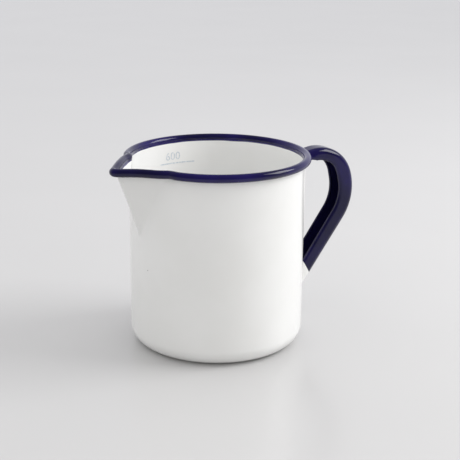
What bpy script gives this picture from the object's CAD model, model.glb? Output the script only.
"""Looks of the enamelled milk jug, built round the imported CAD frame.

The cup's sheet and coats, the rolled rim, the strap's coats and the printed numerals are made here
as fine meshes at the CAD sizes. The strap's bare steel, the welds and the scale's lines stay as the
CAD made them.
"""

import logging
import math
from dataclasses import dataclass, field
from enum import Enum
from typing import Optional, Sequence, Union

import bmesh
import bpy
import numpy as np
from mathutils import Matrix, Vector


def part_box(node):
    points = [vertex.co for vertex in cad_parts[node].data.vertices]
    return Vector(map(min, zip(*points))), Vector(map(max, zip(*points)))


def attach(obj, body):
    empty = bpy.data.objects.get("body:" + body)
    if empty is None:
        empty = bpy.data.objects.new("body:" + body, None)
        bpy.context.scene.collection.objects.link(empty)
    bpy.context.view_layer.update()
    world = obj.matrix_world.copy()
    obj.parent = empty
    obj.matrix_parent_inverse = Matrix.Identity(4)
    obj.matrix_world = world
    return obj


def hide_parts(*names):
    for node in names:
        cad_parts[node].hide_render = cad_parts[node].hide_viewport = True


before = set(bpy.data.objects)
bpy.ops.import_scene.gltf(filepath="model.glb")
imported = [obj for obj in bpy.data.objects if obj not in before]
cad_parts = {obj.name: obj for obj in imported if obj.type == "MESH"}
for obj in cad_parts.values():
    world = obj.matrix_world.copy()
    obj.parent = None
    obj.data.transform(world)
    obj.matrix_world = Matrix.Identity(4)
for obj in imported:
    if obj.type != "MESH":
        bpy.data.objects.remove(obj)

LOG = logging.getLogger("jug")
MM = 0.001
Colour = tuple[float, float, float, float]
Value = Union[bpy.types.NodeSocket, float, Colour]

# Bearings from the spout's axis, in degrees (from, to, step): close together where the shape turns fast.
BEARING_STEPS = ((0.0, 1.6, 0.16), (1.6, 22.0, 0.75), (22.0, 38.0, 0.4), (38.0, 180.0, 1.6))
FLOOR_SHARES = (0.25, 0.5, 0.75, 0.92)      # rings on the flat of the base, in shares of its radius
SLOPE_STEPS = 8
CORNER_STEPS = 14
WALL_RINGS_BELOW = 12
WALL_RINGS_ABOVE = 44
HEADING_SLACK = 0.01                        # radians, so that rounding doesn't hide the end of a bend
MIX_INPUTS = (0, 6, 7)                      # a colour mix node's factor, first and second colour
MIX_RESULT = 2

# Millimetres past the rim bend, how far the strip is folded there (0 flat, 1 a full channel),
# the strap size that gives its depth, and the millimetres added to that.
STRAP_FOLD = (
    (-15.0, 0.0, "depth_rim", 0.0),
    (-6.0, 0.0, "depth_rim", 0.0),
    (0.0, 0.45, "depth_rim", 0.0),
    (4.5, 0.85, "depth_rim", 0.6),
    (9.5, 1.0, "depth_arch", 0.0),
    (19.0, 1.0, "depth_arch", 0.5),
    (44.0, 1.0, "depth_grip", 0.0),
    (58.0, 1.0, "depth_grip", 0.0),
    (130.0, 1.0, "depth_foot", 0.0),
)


class Finish(Enum):
    """The finishes of the pieces. An enamel's value is also its slot in the record."""

    WHITE = "white_enamel"
    BLUE = "blue_enamel"
    SHEET = "bare_sheet"
    WELD = "weld_metal"
    INK = "fired_ink"


class Stretch(Enum):
    """The kinds of stretch that the strap's route is made of."""

    LINE = "line"
    ARC = "arc"


# ---------------------------------------------------------------- sizes
@dataclass(frozen=True)
class SpoutSize:
    """The pressed spout, as a wedge that runs out into the wall."""

    reach: float = 62.3 * MM
    half_angle: float = math.radians(49.3)
    tip_radius: float = 2.5 * MM
    foot_height: float = 66.0 * MM
    bearing: float = math.radians(186.0)
    blend_top: float = 0.45 * MM
    blend_foot: float = 0.85 * MM
    pinch_depth: float = 1.2 * MM
    pinch_bearing: float = math.radians(27.5)
    pinch_width: float = math.radians(4.2)
    pinch_fade: float = 5.0 * MM
    press_start: float = 85.0 * MM
    tip_dip: float = 1.0 * MM
    tip_spread: float = math.radians(8.0)
    shoulder_rise: float = 0.07 * MM
    shoulder_bearing: float = math.radians(34.0)
    shoulder_spread: float = math.radians(9.0)


@dataclass(frozen=True)
class BeadSize:
    """The rolled rim's section and how its fullness changes round the mouth."""

    radius: float = 2.22 * MM
    around: int = 36
    swell: float = 0.035
    swell_offset: float = math.radians(7.0)
    swell_spread: float = math.radians(3.5)
    pinch: float = 0.15
    lip_spread: float = math.radians(2.5)
    ring_spread: float = math.radians(11.0)
    waves: tuple = ((0.006, 9, 1.0), (0.004, 23, 0.0))


@dataclass(frozen=True)
class CupSize:
    """The drawn cup, over its enamel."""

    outer_radius: float = 47.75 * MM
    coat: float = 0.25 * MM
    sharp_turn: float = math.radians(50)
    steel: float = 0.6 * MM
    corner_radius: float = 9.0 * MM
    recess: float = 0.8 * MM
    recess_radius: float = 33.0 * MM
    recess_slope: float = 4.0 * MM
    rim_radius: float = 48.7 * MM
    rim_height: float = 103.2 * MM
    spout_zone: float = 60.0 * MM
    bead: BeadSize = field(default_factory=BeadSize)
    spout: SpoutSize = field(default_factory=SpoutSize)

    @property
    def inner_radius(self) -> float:
        """Radius of the inside surface."""
        return self.outer_radius - 2 * self.coat - self.steel


@dataclass(frozen=True)
class StrapSize:
    """The channel-section handle strap, over its enamel."""

    coat: float = 0.25 * MM
    half_width: float = 6.3 * MM
    side_least: float = 0.2 * MM
    thickness: float = 1.3 * MM
    corner_radius: float = 3.4 * MM
    lip_radius: float = 1.5 * MM
    lip_turn: float = math.radians(55.0)
    tongue_half_width: float = 5.6 * MM
    tongue_reach: float = 46.9 * MM
    tongue_bottom: float = 87.0 * MM
    rim_bend: float = 4.0 * MM
    arch_start: tuple = (53.8 * MM, 101.6 * MM)
    arch_rise: float = math.radians(12.7)
    arch_lead: float = 4.0 * MM
    arch_radius: float = 22.0 * MM
    arch_turn: float = math.radians(83.7)
    grip_radius: float = 31.3 * MM
    grip_turn: float = math.radians(54.4)
    foot_reach: float = 48.2 * MM
    foot_bend: float = 6.0 * MM
    foot_height: float = 10.2 * MM
    depth_rim: float = 3.6 * MM
    depth_arch: float = 6.4 * MM
    depth_grip: float = 9.5 * MM
    depth_foot: float = 8.5 * MM
    blue_end: tuple = (55.1 * MM, 0.0, 33.2 * MM)
    blue_end_slant: float = math.radians(30.0)
    line_step: float = 3.0 * MM
    arc_step: float = 1.1 * MM
    half_points: int = 22
    edge_points: int = 9
    sharp_turn: float = math.radians(45)


@dataclass(frozen=True)
class ScaleSize:
    """The printed numerals inside the cup."""

    bearing: float = math.radians(97.0)
    digit_height: float = 4.6 * MM
    cap_share: float = 0.7
    gap: float = 1.6 * MM
    sink: float = 0.02 * MM
    stand: float = 0.07 * MM
    lines: int = 6
    numbered: tuple = (2, 4, 6)
    step: int = 100


# ---------------------------------------------------------------- mesh helpers
def placed(name: str, data: bpy.types.ID) -> bpy.types.Object:
    """Makes an object and links it to the scene.

    Args:
        name: The object's name.
        data: Its mesh, curve, light or camera.

    Returns:
        The object.
    """
    piece = bpy.data.objects.new(name, data)
    bpy.context.scene.collection.objects.link(piece)
    return piece


def evaluated_mesh(source: bpy.types.Object) -> bpy.types.Mesh:
    """Turns an object's evaluated shape into a plain mesh and removes the object.

    Args:
        source: An object with live modifiers or text.

    Returns:
        The plain mesh.
    """
    bpy.context.view_layer.update()
    mesh = bpy.data.meshes.new_from_object(source.evaluated_get(bpy.context.evaluated_depsgraph_get()))
    bpy.data.objects.remove(source)
    return mesh


def new_mesh_object(name: str, vertices: Sequence, faces: Sequence) -> bpy.types.Object:
    """Makes a smooth object from vertices and faces.

    Args:
        name: The piece's name.
        vertices: Points in metres, in the frame of the CAD.
        faces: Tuples of vertex numbers.

    Returns:
        The new object, linked to the scene, its normals pointing outward.
    """
    mesh = bpy.data.meshes.new(name)
    mesh.from_pydata([tuple(v) for v in vertices], [], faces)
    work = bmesh.new()
    work.from_mesh(mesh)
    bmesh.ops.recalc_face_normals(work, faces=work.faces)
    work.to_mesh(mesh)
    work.free()
    mesh.polygons.foreach_set("use_smooth", [True] * len(mesh.polygons))
    mesh.update()
    return placed(name, mesh)


def sharpen(piece: bpy.types.Object, angle: float) -> None:
    """Marks the edges that turn more than an angle as sharp.

    Args:
        piece: A mesh object.
        angle: The largest turn that stays smooth, in radians.
    """
    work = bmesh.new()
    work.from_mesh(piece.data)
    for edge in work.edges:
        edge.smooth = not (edge.is_manifold and edge.calc_face_angle(0.0) > angle)
    work.to_mesh(piece.data)
    work.free()


def ring_faces(rings: int, around: int) -> list:
    """Quads between rings of points that close on themselves.

    Args:
        rings: How many rings there are.
        around: How many points each ring has.

    Returns:
        A list of quads.
    """
    quads = []
    for ring in range(rings - 1):
        for k in range(around):
            here, there = ring * around, (ring + 1) * around
            after = (k + 1) % around
            quads.append((here + k, here + after, there + after, there + k))
    return quads


# ---------------------------------------------------------------- shape of the mouth
@dataclass(frozen=True)
class Mouth:
    """The plan of the cup with its spout, at any height and any depth in the wall."""

    cup: CupSize

    def angles(self) -> np.ndarray:
        """Bearings from the spout's axis, once round the mouth."""
        half = np.concatenate([np.arange(first, last, step) for first, last, step in BEARING_STEPS])
        return np.radians(np.concatenate([half, [180.0], -half[:0:-1]]))

    @staticmethod
    def off_axis(psi: np.ndarray) -> np.ndarray:
        """The same bearings as plain distances from the spout's axis, from 0 to half a turn."""
        return np.abs((psi + math.pi) % (2 * math.pi) - math.pi)

    def radius(self, psi: np.ndarray, height: float, level: float) -> np.ndarray:
        """Distance from the axis to a surface of the wall.

        Args:
            psi: Bearings from the spout's axis.
            height: Height above the floor.
            level: The surface's radius where the wall is round.

        Returns:
            One radius for each bearing.
        """
        cup, spout = self.cup, self.cup.spout
        slope = (spout.reach - cup.rim_radius) / (cup.rim_height - spout.foot_height)
        centre = spout.reach - spout.tip_radius - (cup.rim_height - height) * slope
        nose = spout.tip_radius + level - cup.rim_radius
        psi = self.off_axis(psi)
        turn = np.minimum(psi, math.pi / 2 - spout.half_angle)
        flank = (centre * math.sin(spout.half_angle) + nose) / np.sin(spout.half_angle + turn)
        tip_end = math.atan2(nose * math.cos(spout.half_angle), centre + nose * math.sin(spout.half_angle))
        inside = np.maximum(nose ** 2 - (centre * np.sin(psi)) ** 2, 0.0)
        tip = centre * np.cos(psi) + np.sqrt(inside)
        wedge = np.where(psi < tip_end, tip, flank)
        share = min(max((height - spout.foot_height) / (cup.rim_height - spout.foot_height), 0.0), 1.0)
        blend = spout.blend_foot + (spout.blend_top - spout.blend_foot) * share
        overlap = np.maximum(blend - np.abs(level - wedge), 0.0) / blend
        pinch = np.exp(-((psi - spout.pinch_bearing) / spout.pinch_width) ** 2)
        fade = math.exp((height - cup.rim_height) / spout.pinch_fade)
        return np.maximum(level, wedge) + overlap ** 2 * blend / 4 - spout.pinch_depth * fade * pinch

    def lift(self, height: float) -> np.ndarray:
        """How far the wall stands above its nominal height: the pressed tip dips, the shoulders rise.

        Args:
            height: The nominal height above the floor.

        Returns:
            One lift for each bearing.
        """
        spout = self.cup.spout
        psi = self.off_axis(self.angles())
        share = min(max((height - spout.press_start) / (self.cup.rim_height - spout.press_start), 0.0), 1.0)
        dip = -spout.tip_dip * np.exp(-(psi / spout.tip_spread) ** 2)
        rise = spout.shoulder_rise * np.exp(-((psi - spout.shoulder_bearing) / spout.shoulder_spread) ** 2)
        return share * (dip + rise)

    def ring(self, height: float, level: float) -> np.ndarray:
        """Points of a wall surface at one height.

        Args:
            height: The nominal height above the floor.
            level: The surface's radius where the wall is round.

        Returns:
            Points in the frame of the CAD, once round.
        """
        psi = self.angles()
        radius = self.radius(psi, height, level)
        bearing = psi + self.cup.spout.bearing
        tops = height + self.lift(height)
        return np.stack([radius * np.cos(bearing), radius * np.sin(bearing), tops], axis=1)


# ---------------------------------------------------------------- shader groups
@dataclass
class NodeKit:
    """A little help for wiring one node tree."""

    tree: bpy.types.NodeTree
    count: int = 0

    def add(self, kind: str, **settings: object) -> bpy.types.Node:
        """Adds a node.

        Args:
            kind: The node's type.
            settings: Values by name. One with a socket's name sets that input, others set a property.

        Returns:
            The node.
        """
        node = self.tree.nodes.new(kind)
        node.location = (220 * (self.count % 8), -260 * (self.count // 8))
        self.count += 1
        for key, value in settings.items():
            if key in node.inputs:
                node.inputs[key].default_value = value
            else:
                setattr(node, key, value)
        return node

    def link(self, source: bpy.types.NodeSocket, target: bpy.types.NodeSocket) -> None:
        """Joins an output to an input."""
        self.tree.links.new(source, target)

    def feed(self, target: bpy.types.NodeSocket, value: Value) -> None:
        """Fills an input.

        Args:
            target: The input.
            value: A socket for it to read, or a plain value.
        """
        if isinstance(value, bpy.types.NodeSocket):
            self.link(value, target)
        else:
            target.default_value = value

    def math(self, operation: str, first: Value, second: Value) -> bpy.types.NodeSocket:
        """A math node.

        Args:
            operation: What it does.
            first: A socket or a number.
            second: A socket or a number.

        Returns:
            Its output.
        """
        node = self.add("ShaderNodeMath", operation=operation)
        self.feed(node.inputs[0], first)
        self.feed(node.inputs[1], second)
        return node.outputs[0]

    def mix(self, factor: Value, first: Value, second: Value) -> bpy.types.NodeSocket:
        """A colour mix.

        Args:
            factor: 0 for the first colour, 1 for the second.
            first: A socket or a colour.
            second: A socket or a colour.

        Returns:
            The mixed colour.
        """
        node = self.add("ShaderNodeMix", data_type="RGBA")
        for number, value in zip(MIX_INPUTS, (factor, first, second)):
            self.feed(node.inputs[number], value)
        return node.outputs[MIX_RESULT]

    def place(self) -> bpy.types.NodeSocket:
        """Object coordinates."""
        return self.add("ShaderNodeTexCoord").outputs["Object"]

    def noise(self, place: bpy.types.NodeSocket, scale: float, detail: float) -> bpy.types.NodeSocket:
        """A noise pattern.

        Args:
            place: Where it is read.
            scale: How fine it is.
            detail: How many finer layers it has.

        Returns:
            Its strength.
        """
        node = self.add("ShaderNodeTexNoise", Scale=scale, Detail=detail)
        self.link(place, node.inputs["Vector"])
        return node.outputs["Fac"]

    def height(self, place: bpy.types.NodeSocket) -> bpy.types.NodeSocket:
        """The upward part of a place or a direction.

        Args:
            place: The place or direction.

        Returns:
            Its third number.
        """
        split = self.add("ShaderNodeSeparateXYZ")
        self.link(place, split.inputs["Vector"])
        return split.outputs["Z"]

    def map_range(self, value: bpy.types.NodeSocket, low: float, high: float,
                  start: float = 0.0, end: float = 1.0) -> bpy.types.NodeSocket:
        """A smooth, clamped map from one range to another.

        Args:
            value: What is mapped.
            low: The value that gives the start.
            high: The value that gives the end.
            start: The result at the low value.
            end: The result at the high value.

        Returns:
            The result.
        """
        node = self.add("ShaderNodeMapRange", interpolation_type="SMOOTHSTEP")
        self.link(value, node.inputs["Value"])
        for socket, number in (("From Min", low), ("From Max", high), ("To Min", start), ("To Max", end)):
            node.inputs[socket].default_value = number
        return node.outputs["Result"]


def new_group(name: str, inputs: list, outputs: list) -> tuple:
    """A shader node group with its sockets.

    Args:
        name: The group's name.
        inputs: (name, socket type, default) for each input.
        outputs: (name, socket type) for each output.

    Returns:
        The group, a NodeKit for it, its input node and its output node.
    """
    group = bpy.data.node_groups.new(name, "ShaderNodeTree")
    for label, kind, default in inputs:
        socket = group.interface.new_socket(label, in_out="INPUT", socket_type=kind)
        socket.default_value = default
    for label, kind in outputs:
        group.interface.new_socket(label, in_out="OUTPUT", socket_type=kind)
    kit = NodeKit(group)
    return group, kit, kit.add("NodeGroupInput"), kit.add("NodeGroupOutput")


def enamel_skin_group() -> bpy.types.NodeTree:
    """Fired glass on sheet metal: slow waves, fine orange peel, pinholes and a drifting tone.

    Returns:
        The group, with the outputs Normal, Pinhole and Tone.
    """
    number = "NodeSocketFloat"
    group, kit, source, sink = new_group(
        "Enamel_Skin",
        [("Wave Scale", number, 60.0), ("Peel Scale", number, 900.0), ("Depth", number, 0.2),
         ("Pinhole Share", number, 0.03)],
        [("Normal", "NodeSocketVector"), ("Pinhole", number), ("Tone", number)])
    place = kit.place()
    waves = kit.add("ShaderNodeTexNoise", Detail=1.0)
    peel = kit.add("ShaderNodeTexNoise", Detail=2.0)
    for node, scale in ((waves, "Wave Scale"), (peel, "Peel Scale")):
        kit.link(place, node.inputs["Vector"])
        kit.link(source.outputs[scale], node.inputs["Scale"])
    slow = kit.add("ShaderNodeBump", Distance=0.6 * MM)
    fine = kit.add("ShaderNodeBump", Distance=0.04 * MM)
    for bump, texture in ((slow, waves), (fine, peel)):
        kit.link(source.outputs["Depth"], bump.inputs["Strength"])
        kit.link(texture.outputs["Fac"], bump.inputs["Height"])
    kit.link(slow.outputs["Normal"], fine.inputs["Normal"])
    kit.link(fine.outputs["Normal"], sink.inputs["Normal"])
    cells = kit.add("ShaderNodeTexVoronoi", Scale=260.0)
    kit.link(place, cells.inputs["Vector"])
    dot = kit.map_range(cells.outputs["Distance"], 0.04, 0.10, 1.0, 0.0)
    split = kit.add("ShaderNodeSeparateColor")
    kit.link(cells.outputs["Color"], split.inputs["Color"])
    chosen = kit.math("LESS_THAN", split.outputs["Red"], source.outputs["Pinhole Share"])
    kit.link(kit.math("MULTIPLY", dot, chosen), sink.inputs["Pinhole"])
    kit.link(kit.noise(place, 22.0, 3.0), sink.inputs["Tone"])
    return group


def metal_grain_group() -> bpy.types.NodeTree:
    """Rolling lines and stains of bare sheet.

    Returns:
        The group, with the outputs Grain, Stain and Normal.
    """
    number = "NodeSocketFloat"
    group, kit, source, sink = new_group(
        "Rolled_Grain", [("Grain Scale", number, 400.0)],
        [("Grain", number), ("Stain", number), ("Normal", "NodeSocketVector")])
    place = kit.place()
    stretch = kit.add("ShaderNodeMapping")
    stretch.inputs["Scale"].default_value = (1.0, 1.0, 0.06)
    kit.link(place, stretch.inputs["Vector"])
    lines = kit.add("ShaderNodeTexNoise", Detail=4.0)
    kit.link(stretch.outputs["Vector"], lines.inputs["Vector"])
    kit.link(source.outputs["Grain Scale"], lines.inputs["Scale"])
    bump = kit.add("ShaderNodeBump", Distance=0.02 * MM, Strength=0.4)
    kit.link(lines.outputs["Fac"], bump.inputs["Height"])
    kit.link(lines.outputs["Fac"], sink.inputs["Grain"])
    kit.link(kit.noise(place, 60.0, 5.0), sink.inputs["Stain"])
    kit.link(bump.outputs["Normal"], sink.inputs["Normal"])
    return group


# ---------------------------------------------------------------- finishes
def new_material(name: str) -> tuple:
    """A material with an empty node tree.

    Args:
        name: The material's name.

    Returns:
        The material and a NodeKit for it.
    """
    material = bpy.data.materials.new(name)
    material.use_nodes = True
    material.node_tree.nodes.clear()
    return material, NodeKit(material.node_tree)


def shade(kit: NodeKit, inputs: dict, **settings: float) -> None:
    """Ends a material with its main shader and output.

    Args:
        kit: The material's kit.
        inputs: Sockets by the name of the shader's input.
        settings: The shader's plain values.
    """
    shader = kit.add("ShaderNodeBsdfPrincipled", **settings)
    for name, value in inputs.items():
        kit.link(value, shader.inputs[name])
    output = kit.add("ShaderNodeOutputMaterial")
    kit.link(shader.outputs["BSDF"], output.inputs["Surface"])


@dataclass(frozen=True)
class EnamelFinish:
    """Fired glossy enamel."""

    name: str
    thick: tuple
    thin: tuple
    pinhole: tuple
    roughness: float
    depth: float
    pinhole_share: float
    ior: float
    worn_foot: Optional[Colour] = None
    worn_heights: tuple = (0.02 * MM, 0.5 * MM)
    lap: Optional[Colour] = None
    lap_edge: tuple = (101.50 * MM, 101.72 * MM)
    lap_wander: float = 0.1 * MM

    def build(self) -> bpy.types.Material:
        """Builds the finish.

        Returns:
            The material.
        """
        material, kit = new_material(self.name)
        skin = kit.add("ShaderNodeGroup", node_tree=shared_group("Enamel_Skin"))
        skin.inputs["Depth"].default_value = self.depth
        skin.inputs["Pinhole Share"].default_value = self.pinhole_share
        tone = kit.map_range(skin.outputs["Tone"], 0.35, 0.68)
        colour = kit.mix(tone, self.thick, self.thin)
        rough = kit.map_range(skin.outputs["Tone"], 0.3, 0.7, self.roughness, self.roughness * 1.6)
        if self.worn_foot is not None:
            worn = self._foot_mask(kit)
            colour = kit.mix(worn, colour, self.worn_foot)
            rough = kit.math("ADD", rough, kit.math("MULTIPLY", worn, 0.3))
        if self.lap is not None:
            colour = kit.mix(self._lap_mask(kit), colour, self.lap)
        colour = kit.mix(skin.outputs["Pinhole"], colour, self.pinhole)
        inputs = {"Base Color": colour, "Roughness": rough, "Normal": skin.outputs["Normal"]}
        shade(kit, inputs, IOR=self.ior)
        return material

    def _lap_mask(self, kit: NodeKit) -> bpy.types.NodeSocket:
        """Where the rim's blue has run a little way down the white wall.

        Args:
            kit: The material's kit.

        Returns:
            1 in the blue, 0 below it.
        """
        place = kit.place()
        wander = kit.map_range(kit.noise(place, 90.0, 1.0), 0.3, 0.7, -self.lap_wander, self.lap_wander)
        return kit.map_range(kit.math("ADD", kit.height(place), wander), *self.lap_edge)

    def _foot_mask(self, kit: NodeKit) -> bpy.types.NodeSocket:
        """Where the standing ring has rubbed thin.

        Args:
            kit: The material's kit.

        Returns:
            1 where it is worn, 0 elsewhere.
        """
        place = kit.place()
        low = kit.map_range(kit.height(place), *self.worn_heights, 1.0, 0.0)
        return kit.math("MULTIPLY", low, kit.map_range(kit.noise(place, 180.0, 4.0), 0.45, 0.62))


@dataclass(frozen=True)
class MetalFinish:
    """Bare sheet or weld metal."""

    name: str
    base: tuple
    stained: tuple
    roughness: float

    def build(self) -> bpy.types.Material:
        """Builds the finish.

        Returns:
            The material.
        """
        material, kit = new_material(self.name)
        grain = kit.add("ShaderNodeGroup", node_tree=shared_group("Rolled_Grain"))
        colour = kit.mix(kit.map_range(grain.outputs["Stain"], 0.4, 0.7), self.base, self.stained)
        rough = kit.map_range(grain.outputs["Grain"], 0.3, 0.7, self.roughness * 0.8, self.roughness * 1.3)
        inputs = {"Base Color": colour, "Roughness": rough, "Normal": grain.outputs["Normal"]}
        shade(kit, inputs, Metallic=1.0)
        return material


@dataclass(frozen=True)
class InkFinish:
    """Thin ceramic ink, fired on."""

    name: str
    full: tuple
    faint: tuple

    def build(self) -> bpy.types.Material:
        """Builds the finish.

        Returns:
            The material.
        """
        material, kit = new_material(self.name)
        patches = kit.noise(kit.place(), 900.0, 3.0)
        colour = kit.mix(kit.map_range(patches, 0.35, 0.65), self.full, self.faint)
        rough = kit.map_range(patches, 0.3, 0.7, 0.12, 0.3)
        shade(kit, {"Base Color": colour, "Roughness": rough}, IOR=1.5)
        return material


def shared_group(name: str) -> bpy.types.NodeTree:
    """A shared shader group, built the first time that it is asked for."""
    makers = {"Enamel_Skin": enamel_skin_group, "Rolled_Grain": metal_grain_group}
    return bpy.data.node_groups.get(name) or makers[name]()


RECIPES = {
    Finish.WHITE: EnamelFinish(
        "White_Enamel", thick=(0.875, 0.875, 0.86, 1), thin=(0.905, 0.905, 0.895, 1),
        pinhole=(0.05, 0.05, 0.06, 1),
        roughness=0.10, depth=0.10, pinhole_share=0.012, ior=1.5,
        worn_foot=(0.30, 0.29, 0.27, 1.0), lap=(0.016, 0.010, 0.120, 1)),
    Finish.BLUE: EnamelFinish(
        "Navy_Enamel", thick=(0.006, 0.005, 0.032, 1), thin=(0.016, 0.010, 0.100, 1),
        pinhole=(0.002, 0.002, 0.01, 1),
        roughness=0.07, depth=0.22, pinhole_share=0.02, ior=1.42),
    Finish.INK: InkFinish("Fired_Ink", full=(0.58, 0.63, 0.69, 1), faint=(0.74, 0.77, 0.80, 1)),
    Finish.SHEET: MetalFinish("Bare_Sheet", base=(0.42, 0.42, 0.43, 1), stained=(0.26, 0.25, 0.25, 1),
                              roughness=0.38),
    Finish.WELD: MetalFinish("Weld_Metal", base=(0.33, 0.32, 0.32, 1), stained=(0.16, 0.13, 0.16, 1),
                             roughness=0.45),
}
FINISHES: dict[Finish, bpy.types.Material] = {}


# ---------------------------------------------------------------- cup
@dataclass(frozen=True)
class Cup:
    """The enamelled cup: its steel sheet, outside coat, inside coat and the blue rim."""

    size: CupSize

    @property
    def mouth(self) -> Mouth:
        """The plan of its wall."""
        return Mouth(self.size)

    def profile(self, inset: float) -> list:
        """Base and corner of a surface as (radius, height), from the axis outward.

        Args:
            inset: How far the surface lies inside the outside of the enamel.

        Returns:
            Points up to the start of the straight wall.
        """
        size = self.size
        ring_inner = size.recess_radius + size.recess_slope
        ring_outer = size.outer_radius - size.corner_radius
        points = [(share * size.recess_radius, size.recess + inset) for share in FLOOR_SHARES]
        for k in range(SLOPE_STEPS + 1):
            share = k / SLOPE_STEPS
            drop = size.recess * share * share * (3 - 2 * share)
            reach = size.recess_radius + share * (ring_inner - size.recess_radius)
            points.append((reach, size.recess - drop + inset))
        points.append(((ring_inner + ring_outer) / 2, inset))
        radius = size.corner_radius - inset
        for k in range(CORNER_STEPS + 1):
            turn = k / CORNER_STEPS * math.pi / 2
            reach = ring_outer + radius * math.sin(turn)
            points.append((reach, size.corner_radius - radius * math.cos(turn)))
        return points

    def heights(self) -> list:
        """Where the rings up the straight wall are, closer together beside the spout.

        Returns:
            Heights above the floor, from the lowest.
        """
        size = self.size
        low = list(np.linspace(size.corner_radius, size.spout_zone, WALL_RINGS_BELOW)[1:])
        return low + list(np.linspace(size.spout_zone, size.rim_height, WALL_RINGS_ABOVE)[1:])

    def surface(self, inset: float) -> list:
        """One surface of the cup.

        Args:
            inset: How far it lies inside the outside of the enamel.

        Returns:
            Rings of points, from the base's middle to the top of the wall.
        """
        psi = self.mouth.angles() + self.size.spout.bearing
        rings = [np.stack([r * np.cos(psi), r * np.sin(psi), np.full_like(psi, z)], axis=1)
                 for r, z in self.profile(inset)]
        rings += [self.mouth.ring(z, self.size.outer_radius - inset) for z in self.heights()]
        return rings

    def coat(self, name: str, outer_inset: float, inner_inset: float) -> bpy.types.Object:
        """A thin closed shell between two surfaces of the wall.

        Args:
            name: The piece's name.
            outer_inset: How far the outward surface lies inside the outside of the enamel.
            inner_inset: The same for the surface nearer the axis.

        Returns:
            The piece.
        """
        outer, inner = self.surface(outer_inset), self.surface(inner_inset)
        rings = outer + inner[::-1]
        around = len(rings[0])
        points = np.concatenate(rings)
        faces = ring_faces(len(rings), around)
        ends = [(0.0, 0.0, rings[0][0][2]), (0.0, 0.0, rings[-1][0][2])]
        first, last = len(points), len(points) + 1
        top = (len(rings) - 1) * around
        for k in range(around):
            after = (k + 1) % around
            faces.append((first, after, k))
            faces.append((last, top + k, top + after))
        piece = new_mesh_object(name, list(points) + ends, faces)
        sharpen(piece, self.size.sharp_turn)
        return piece

    def swell(self) -> np.ndarray:
        """How full the rolled rim is: pinched at the kinks, full beside them.

        Returns:
            One factor on the bead's radius for each bearing.
        """
        bead, kink = self.size.bead, self.size.spout.pinch_bearing
        psi = self.mouth.off_axis(self.mouth.angles())
        spread = np.where(psi < kink, bead.lip_spread, bead.ring_spread)
        pinch = np.exp(-((psi - kink) / spread) ** 2)
        full = np.exp(-((psi - kink + bead.swell_offset) / bead.swell_spread) ** 2)
        waves = sum(part * np.sin(count * self.mouth.angles() + shift) for part, count, shift in bead.waves)
        return np.minimum(1 + bead.swell * full - bead.pinch * pinch + waves, 1 + bead.swell)

    def rim(self) -> bpy.types.Object:
        """The rolled rim: a round section carried round the mouth by a node tree.

        Returns:
            The piece.
        """
        size = self.size
        points = self.mouth.ring(size.rim_height, size.rim_radius)
        path = bpy.data.meshes.new("rim_path")
        count = len(points)
        path.from_pydata([tuple(p) for p in points], [(k, (k + 1) % count) for k in range(count)], [])
        swell = path.attributes.new("swell", "FLOAT", "POINT")
        swell.data.foreach_set("value", self.swell().astype(np.float32))
        carrier = placed("rim_path", path)
        modifier = carrier.modifiers.new("Rolled_Rim", "NODES")
        modifier.node_group = rolled_rim_tree()
        face = modifier.node_group.interface.items_tree
        sockets = {socket.name: socket.identifier for socket in face if socket.in_out == "INPUT"}
        modifier[sockets["Bead Radius"]] = size.bead.radius
        modifier[sockets["Around"]] = size.bead.around
        modifier[sockets["Finish"]] = FINISHES[Finish.BLUE]
        mesh = evaluated_mesh(carrier)
        bpy.data.meshes.remove(path)
        mesh.name = "rolled_rim"
        return placed("rolled_rim", mesh)

    def build(self) -> None:
        """Builds the coats, the sheet and the rim and gives them their places in the frame."""
        size = self.size
        inner_steel = size.coat + size.steel
        layers = (("enamel_outside", 0.0, size.coat, Finish.WHITE, "white_enamel", "white_enamel_outside"),
                  ("enamel_inside", inner_steel, 2 * size.coat + size.steel, Finish.WHITE,
                   "white_enamel", "white_enamel_inside"),
                  ("cup_sheet", size.coat, inner_steel, Finish.SHEET, "cup_steel", "cup_steel"))
        for name, outer, inner, finish, slot, node in layers:
            settle(self.coat(name, outer, inner), FINISHES[finish], slot, node)
        settle(self.rim(), FINISHES[Finish.BLUE], "blue_enamel", "rim_enamel_blue")


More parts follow.
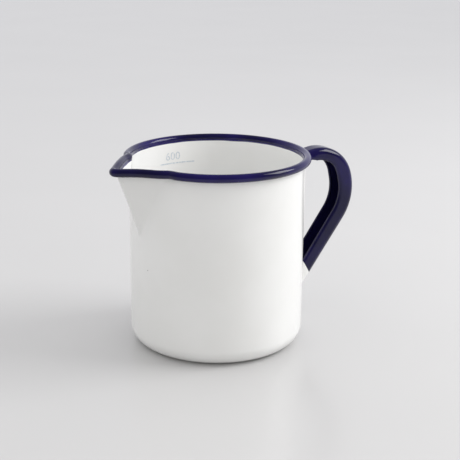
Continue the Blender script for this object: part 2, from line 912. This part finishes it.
def rolled_rim_tree() -> bpy.types.NodeTree:
    """A node tree that carries a round section along a closed path.

    Returns:
        The tree, with the inputs Bead Radius, Around and Finish.
    """
    tree = bpy.data.node_groups.new("Rolled_Rim", "GeometryNodeTree")
    face = tree.interface
    face.new_socket("Geometry", in_out="INPUT", socket_type="NodeSocketGeometry")
    radius = face.new_socket("Bead Radius", in_out="INPUT", socket_type="NodeSocketFloat")
    radius.default_value = 2 * MM
    around = face.new_socket("Around", in_out="INPUT", socket_type="NodeSocketInt")
    around.default_value = 24
    face.new_socket("Finish", in_out="INPUT", socket_type="NodeSocketMaterial")
    face.new_socket("Geometry", in_out="OUTPUT", socket_type="NodeSocketGeometry")
    kit = NodeKit(tree)
    source, sink = kit.add("NodeGroupInput"), kit.add("NodeGroupOutput")
    curve = kit.add("GeometryNodeMeshToCurve")
    upright = kit.add("GeometryNodeSetCurveNormal", mode="Z_UP")
    swell = kit.add("GeometryNodeInputNamedAttribute", data_type="FLOAT", Name="swell")
    fullness = kit.add("GeometryNodeSetCurveRadius")
    section = kit.add("GeometryNodeCurvePrimitiveCircle")
    sweep = kit.add("GeometryNodeCurveToMesh")
    smooth = kit.add("GeometryNodeSetShadeSmooth")
    realize = kit.add("GeometryNodeRealizeInstances")
    finish = kit.add("GeometryNodeSetMaterial")
    kit.link(source.outputs["Geometry"], curve.inputs["Mesh"])
    kit.link(curve.outputs["Curve"], upright.inputs["Curve"])
    kit.link(source.outputs["Bead Radius"], section.inputs["Radius"])
    kit.link(source.outputs["Around"], section.inputs["Resolution"])
    kit.link(upright.outputs["Curve"], fullness.inputs["Curve"])
    kit.link(swell.outputs["Attribute"], fullness.inputs["Radius"])
    kit.link(fullness.outputs["Curve"], sweep.inputs["Curve"])
    kit.link(section.outputs["Curve"], sweep.inputs["Profile Curve"])
    kit.link(sweep.outputs["Mesh"], smooth.inputs["Geometry"])
    kit.link(smooth.outputs["Geometry"], realize.inputs["Geometry"])
    kit.link(realize.outputs["Geometry"], finish.inputs["Geometry"])
    kit.link(source.outputs["Finish"], finish.inputs["Material"])
    kit.link(finish.outputs["Geometry"], sink.inputs["Geometry"])
    return tree


# ---------------------------------------------------------------- handle
@dataclass(frozen=True)
class Handle:
    """The strap handle: a blue upper piece and a white foot, cut from one swept channel."""

    size: StrapSize

    def route(self) -> list:
        """The way that the strap's outer face goes, from the tongue to the foot.

        Returns:
            Stations as (reach, height, heading, length so far).
        """
        size = self.size
        start = size.arch_start
        bend = size.rim_bend
        reach = size.tongue_reach + bend * (1 - math.sin(size.arch_rise))
        height = start[1] - (start[0] - reach) * math.tan(size.arch_rise)
        line, arc = Stretch.LINE, Stretch.ARC
        moves = [(line, height - bend * math.cos(size.arch_rise) - size.tongue_bottom, 0.0),
                 (arc, bend, math.pi / 2 - size.arch_rise),
                 (line, math.dist((reach, height), start) + size.arch_lead, 0.0),
                 (arc, size.arch_radius, size.arch_turn),
                 (arc, size.grip_radius, size.grip_turn)]
        stations = self.walk((size.tongue_reach, size.tongue_bottom, math.pi / 2, 0.0), moves)
        x, z, heading, _ = stations[-1]
        turn = math.pi / 2 + heading
        straight = (x - size.foot_reach - size.foot_bend * (1 - math.cos(turn))) / -math.cos(heading)
        knee = z + straight * math.sin(heading) - size.foot_bend * math.sin(-turn)
        moves = [(line, straight, 0.0), (arc, size.foot_bend, turn), (line, knee - size.foot_height, 0.0)]
        return stations + self.walk(stations[-1], moves)[1:]

    def walk(self, station: tuple, moves: list) -> list:
        """Walks lines and arcs, leaving a station every few millimetres.

        Args:
            station: Where the walk starts.
            moves: (kind, a line's length or an arc's radius, an arc's turn) for each move.

        Returns:
            The stations, with the first.
        """
        x, z, heading, done = station
        stations = [station]
        for kind, amount, turn in moves:
            straight = kind is Stretch.LINE
            length = amount if straight else abs(amount * turn)
            steps = max(2, round(length / (self.size.line_step if straight else self.size.arc_step)))
            for _ in range(steps):
                part = 0.0 if straight else turn / steps
                chord = length / steps if part == 0.0 else 2 * amount * abs(math.sin(part / 2))
                x += chord * math.cos(heading - part / 2)
                z += chord * math.sin(heading - part / 2)
                heading -= part
                done += length / steps
                stations.append((x, z, heading, done))
        return stations

    def fold(self, along: float) -> tuple:
        """The shape of the strip at a length past the rim bend.

        Args:
            along: The length past the rim bend.

        Returns:
            How far it is folded into a channel, and how deep that is.
        """
        keys = [(place, fold, getattr(self.size, depth) + extra * MM)
                for place, fold, depth, extra in STRAP_FOLD]
        stops = [key[0] * MM for key in keys]
        along = min(max(along, stops[0]), stops[-1])
        number = max(1, int(np.searchsorted(stops, along)))
        share = (along - stops[number - 1]) / (stops[number] - stops[number - 1])
        share = share * share * (3 - 2 * share)
        before, after = keys[number - 1], keys[number]
        return before[1] + share * (after[1] - before[1]), before[2] + share * (after[2] - before[2])

    def outline(self, fold: float, depth: float) -> list:
        """The strap's section.

        Args:
            fold: How far the strip is folded, from 0 to 1.
            depth: How deep the channel is.

        Returns:
            A closed loop of (sideways, outward) points that starts at one edge's middle.
        """
        size = self.size
        half = size.thickness / 2
        corner = size.corner_radius - half
        flat = size.half_width - half - corner
        lip_drop = size.lip_radius * math.sin(size.lip_turn)
        side = max(size.side_least, depth - half - corner - lip_drop - size.coat)
        spare = size.tongue_half_width - half - flat
        arcs = [(flat, 0.0), (corner * math.pi / 2, math.pi / 2 * fold), (side, 0.0),
                (size.lip_radius * size.lip_turn, size.lip_turn * fold)]
        total = sum(length for length, _ in arcs)
        shrink = (flat + spare + fold * (total - flat - spare)) / total
        middle = []
        for k in range(size.half_points + 1):
            travel = total * k / size.half_points
            x, y, angle = 0.0, -half, 0.0
            for length, turn in arcs:
                part = min(travel, length)
                bend = turn * part / length
                chord = part if abs(bend) < 1e-9 else part * math.sin(bend / 2) / (bend / 2)
                x += shrink * chord * math.cos(angle + bend / 2)
                y -= shrink * chord * math.sin(angle + bend / 2)
                angle += bend
                travel -= part
            middle.append((x, y, angle))
        face = [(x + half * math.sin(g), y + half * math.cos(g)) for x, y, g in middle]
        back = [(x - half * math.sin(g), y - half * math.cos(g)) for x, y, g in middle]
        x, y, g = middle[-1]
        edge = [(x + half * math.cos(g + a), y + half * -math.sin(g + a)) for a in
                np.linspace(-math.pi / 2, math.pi / 2, size.edge_points)[1:-1]]
        right = face + edge + back[::-1]
        left = [(-x, y) for x, y in right[::-1]]
        loop = right + left[1:-1]
        start = len(face) + len(edge) // 2
        return loop[start:] + loop[:start]

    def sweep(self) -> tuple:
        """The whole strap as one closed mesh.

        Returns:
            Its points and its faces.
        """
        stations = self.route()
        rim_bend = next(s[3] for s in stations if s[2] < self.size.arch_rise + HEADING_SLACK)
        points, rings = [], len(stations)
        for x, z, heading, along in stations:
            for side, out in self.outline(*self.fold(along - rim_bend)):
                points.append((x - out * math.sin(heading), side, z + out * math.cos(heading)))
        around = len(points) // rings
        faces = ring_faces(rings, around)
        for base in (0, (rings - 1) * around):
            for k in range(around // 2):
                ring = [base + k, base + k + 1, base + around - k - 1, base + (around - k) % around]
                corners = tuple(dict.fromkeys(ring))
                if len(corners) > 2:
                    faces.append(corners)
        return points, faces

    def build(self) -> None:
        """Builds the blue strap and its white foot."""
        size = self.size
        points, faces = self.sweep()
        normal = Vector((math.cos(size.blue_end_slant), 0.0, math.sin(size.blue_end_slant)))
        for name, sign, coat, node in (("strap_blue", -1, Finish.BLUE, "handle_enamel_blue"),
                                       ("strap_foot", 1, Finish.WHITE, "handle_foot_enamel_white")):
            piece = new_mesh_object(name, points, faces)
            work = bmesh.new()
            work.from_mesh(piece.data)
            geometry = work.verts[:] + work.edges[:] + work.faces[:]
            cut = bmesh.ops.bisect_plane(work, geom=geometry, plane_co=Vector(size.blue_end),
                                         plane_no=normal * sign, clear_outer=True)
            edges = [g for g in cut["geom_cut"] if isinstance(g, bmesh.types.BMEdge)]
            bmesh.ops.holes_fill(work, edges=edges, sides=0)
            bmesh.ops.recalc_face_normals(work, faces=work.faces)
            work.to_mesh(piece.data)
            work.free()
            piece.data.polygons.foreach_set("use_smooth", [True] * len(piece.data.polygons))
            sharpen(piece, size.sharp_turn)
            settle(piece, FINISHES[coat], coat.value, node)


# ---------------------------------------------------------------- printed scale
@dataclass(frozen=True)
class PrintedScale:
    """Plain numerals over the long lines of the scale, wrapped on the inside wall."""

    cup: CupSize
    size: ScaleSize

    def numeral(self, text: str, foot: float) -> bpy.types.Object:
        """One number as a thin solid on the wall.

        Args:
            text: The digits.
            foot: Height above the floor of the digits' feet.

        Returns:
            The piece.
        """
        curve = bpy.data.curves.new("digits", "FONT")
        curve.body = text
        curve.align_x = "CENTER"
        curve.resolution_u = 3
        mesh = evaluated_mesh(placed("digits", curve))
        work = bmesh.new()
        work.from_mesh(mesh)
        bmesh.ops.remove_doubles(work, verts=work.verts, dist=1e-4)
        bmesh.ops.triangulate(work, faces=work.faces)
        solid = bmesh.ops.extrude_face_region(work, geom=work.faces[:])
        # The digits' front is marked by a height of 1 and their back by 0, until both go to the wall.
        for vertex in (v for v in solid["geom"] if isinstance(v, bmesh.types.BMVert)):
            vertex.co.z = 1.0
        scale = self.size.digit_height / self.size.cap_share
        inside = self.cup.inner_radius
        for vertex in work.verts:
            radius = inside + (self.size.sink if vertex.co.z < 0.5 else -self.size.stand)
            turn = self.size.bearing - vertex.co.x * scale / inside
            vertex.co = Vector((radius * math.cos(turn), radius * math.sin(turn), foot + vertex.co.y * scale))
        bmesh.ops.recalc_face_normals(work, faces=work.faces)
        work.to_mesh(mesh)
        work.free()
        mesh.materials.clear()
        mesh.name = f"numeral_{text}"
        return placed(mesh.name, mesh)

    def build(self) -> None:
        """Puts a number over each long line."""
        low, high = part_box("graduation_lines")
        pitch = (high[2] - low[2]) / (self.size.lines - 1)
        for number in self.size.numbered:
            line = low[2] + pitch * (number - 1)
            piece = self.numeral(str(number * self.size.step), line + self.size.gap)
            settle(piece, FINISHES[Finish.INK], "print")


# ---------------------------------------------------------------- assembly
def settle(piece: bpy.types.Object, material: bpy.types.Material, slot: str, *nodes: str) -> None:
    """Gives a piece its finish and its place in the frame.

    Args:
        piece: The piece.
        material: Its material.
        slot: The record's material slot that it belongs to.
        nodes: The CAD nodes that it stands for.
    """
    piece.data.materials.clear()
    piece.data.materials.append(material)
    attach(piece, "root")
    if nodes:
        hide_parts(*nodes)
    LOG.info("%s: %d faces", piece.name, len(piece.data.polygons))


def dress_frame() -> None:
    """Gives the CAD nodes that stay their finishes."""
    finishes = {"handle_steel": Finish.SHEET, "upper_weld_nuggets": Finish.WELD,
                "lower_weld_nuggets": Finish.WELD, "graduation_lines": Finish.INK}
    for name, finish in finishes.items():
        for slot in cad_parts[name].material_slots:
            slot.material = FINISHES[finish]
        LOG.info("%s: stays, in %s", name, FINISHES[finish].name)


# ---------------------------------------------------------------- studio
@dataclass(frozen=True)
class StudioSize:
    """Camera, floor and light."""

    camera: tuple = (-0.2554, -0.5174, 0.2392)
    forward: tuple = (0.4339, 0.8516, -0.2940)
    roll: float = math.radians(0.6)
    lens: float = 85.7
    sensor: float = 36.0
    clip_start: float = 0.01
    floor_half: float = 3.0
    floor_tones: tuple = ((0.575, 0.572, 0.572, 1), (0.605, 0.60, 0.60, 1))
    floor_roughness: float = 0.22
    mirrored_tones: tuple = ((0.08, 0.08, 0.10, 1), (0.80, 0.80, 0.84, 1))
    soft_tones: tuple = ((0.82, 0.815, 0.805, 1), (1.10, 1.10, 1.11, 1))
    backdrop: tuple = (0.79, 0.795, 0.805, 1)
    window_right: float = 0.9
    window_back: float = 0.05
    window_up: float = 0.65
    window_size: float = 0.6
    window_power: float = 6.8
    window_target: tuple = (0.0, 0.0, 0.05)


@dataclass(frozen=True)
class Studio:
    """Plain pale floor, soft window light from the right and a camera."""

    size: StudioSize

    def floor(self) -> None:
        """A wide flat floor."""
        half = self.size.floor_half
        corners = [(-half, -half, 0), (half, -half, 0), (half, half, 0), (-half, half, 0)]
        piece = new_mesh_object("studio_floor", corners, [(0, 1, 2, 3)])
        material, kit = new_material("Pale_Floor")
        colour = kit.mix(kit.noise(kit.place(), 6.0, 2.0), *self.size.floor_tones)
        shade(kit, {"Base Color": colour}, IOR=1.45, Roughness=self.size.floor_roughness)
        piece.data.materials.append(material)

    def world(self) -> None:
        """Soft room light, brighter away from the camera than behind it."""
        world = bpy.data.worlds.new("Room")
        bpy.context.scene.world = world
        world.use_nodes = True
        world.node_tree.nodes.clear()
        kit = NodeKit(world.node_tree)
        way = kit.add("ShaderNodeTexCoord").outputs["Generated"]
        facing = kit.add("ShaderNodeVectorMath", operation="DOT_PRODUCT")
        kit.link(way, facing.inputs[0])
        level = Vector(self.size.forward)
        level.z = 0.0
        facing.inputs[1].default_value = level.normalized()
        behind = kit.map_range(facing.outputs["Value"], -0.35, 0.6)
        low = kit.map_range(kit.height(way), 0.25, 0.8, 1.0, 0.25)
        mirrored = kit.mix(kit.math("MULTIPLY", behind, low), *self.size.mirrored_tones)
        soft = kit.mix(kit.map_range(facing.outputs["Value"], -0.9, 0.5), *self.size.soft_tones)
        rays = kit.add("ShaderNodeLightPath")
        seen = kit.mix(rays.outputs["Is Camera Ray"], soft, self.size.backdrop)
        colour = kit.mix(rays.outputs["Is Glossy Ray"], seen, mirrored)
        light = kit.add("ShaderNodeBackground", Strength=1.0)
        kit.link(colour, light.inputs["Color"])
        output = kit.add("ShaderNodeOutputWorld")
        kit.link(light.outputs["Background"], output.inputs["Surface"])

    def window(self) -> None:
        """A large soft window on the camera's right, above the jug and turned to it."""
        size = self.size
        forward = Vector(size.forward).normalized()
        right = forward.cross(Vector((0, 0, 1))).normalized()
        back = Vector((0, 0, 1)).cross(right)
        target = Vector(size.window_target)
        place = target + right * size.window_right + back * size.window_back + Vector((0, 0, size.window_up))
        lamp = bpy.data.lights.new("window", "AREA")
        lamp.shape = "RECTANGLE"
        lamp.size = lamp.size_y = size.window_size
        lamp.energy = size.window_power
        holder = placed("window", lamp)
        holder.location = place
        holder.rotation_euler = (target - place).to_track_quat("-Z", "Y").to_euler()

    def camera(self) -> None:
        """The camera, beside the spout and a little above the rim."""
        forward = Vector(self.size.forward).normalized()
        right = forward.cross(Vector((0, 0, 1))).normalized()
        up = right.cross(forward)
        tilted = right * math.cos(self.size.roll) + up * math.sin(self.size.roll)
        upright = tilted.cross(forward)
        data = bpy.data.cameras.new("main")
        data.lens = self.size.lens
        data.sensor_width = self.size.sensor
        data.clip_start = self.size.clip_start
        holder = placed("main", data)
        rows = Matrix((tilted, upright, -forward)).transposed()
        holder.matrix_world = Matrix.Translation(Vector(self.size.camera)) @ rows.to_4x4()
        bpy.context.scene.camera = holder

    def build(self) -> None:
        """Sets the stage."""
        self.floor()
        self.world()
        self.window()
        self.camera()
        bpy.context.scene.view_settings.view_transform = "Standard"


def main() -> None:
    """Builds everything."""
    logging.basicConfig(level=logging.INFO, format="%(name)s %(message)s")
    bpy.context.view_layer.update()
    for finish, recipe in RECIPES.items():
        FINISHES[finish] = recipe.build()
    Studio(StudioSize()).build()
    cup = CupSize()
    Cup(cup).build()
    Handle(StrapSize()).build()
    PrintedScale(cup, ScaleSize()).build()
    dress_frame()


if __name__ == "__main__":
    main()
